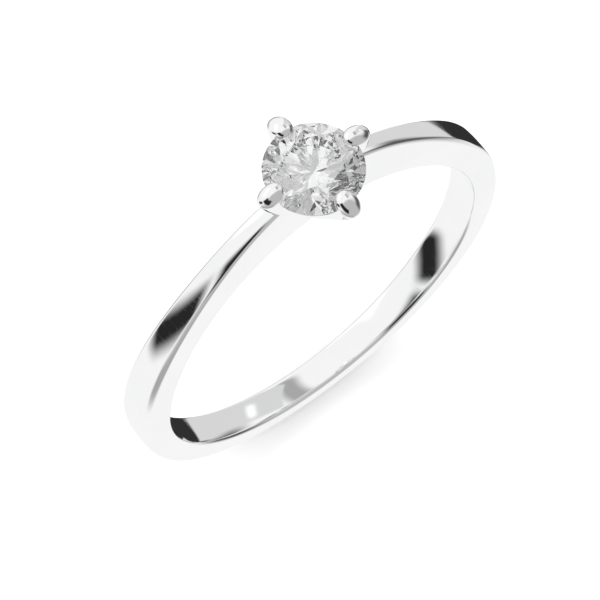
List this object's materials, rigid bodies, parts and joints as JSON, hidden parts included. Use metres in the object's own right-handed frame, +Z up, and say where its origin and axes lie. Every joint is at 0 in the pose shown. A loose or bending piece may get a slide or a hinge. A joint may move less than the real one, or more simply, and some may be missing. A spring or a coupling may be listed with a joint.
{
  "type": "engagement ring",
  "caption": "Solitaire ring with a tapered shank, shoulders rising to a four-claw head, and a round brilliant stone.",
  "frame": {"origin": "middle of the outer face at the bottom of the shank, where the upright ring touches a flat surface; the finger hole's centre is 9.75 mm above it", "axes": "+Z up through the middle of the stone's table; Y along the finger hole, +Y towards the back; X across the hole from shoulder to shoulder"},
  "size_m": [0.0196, 0.0058, 0.0224],
  "materials": {
    "white_gold": "mirror-polished 18 carat white gold, rhodium plated",
    "diamond": "polished facets"
  },
  "bodies": {
    "root": {"shank": "white_gold", "head_base": "white_gold", "bearing_rail": "white_gold", "claw_right": "white_gold", "claw_back": "white_gold", "claw_left": "white_gold", "claw_front": "white_gold", "diamond": "diamond"}
  },
  "joints": []
}
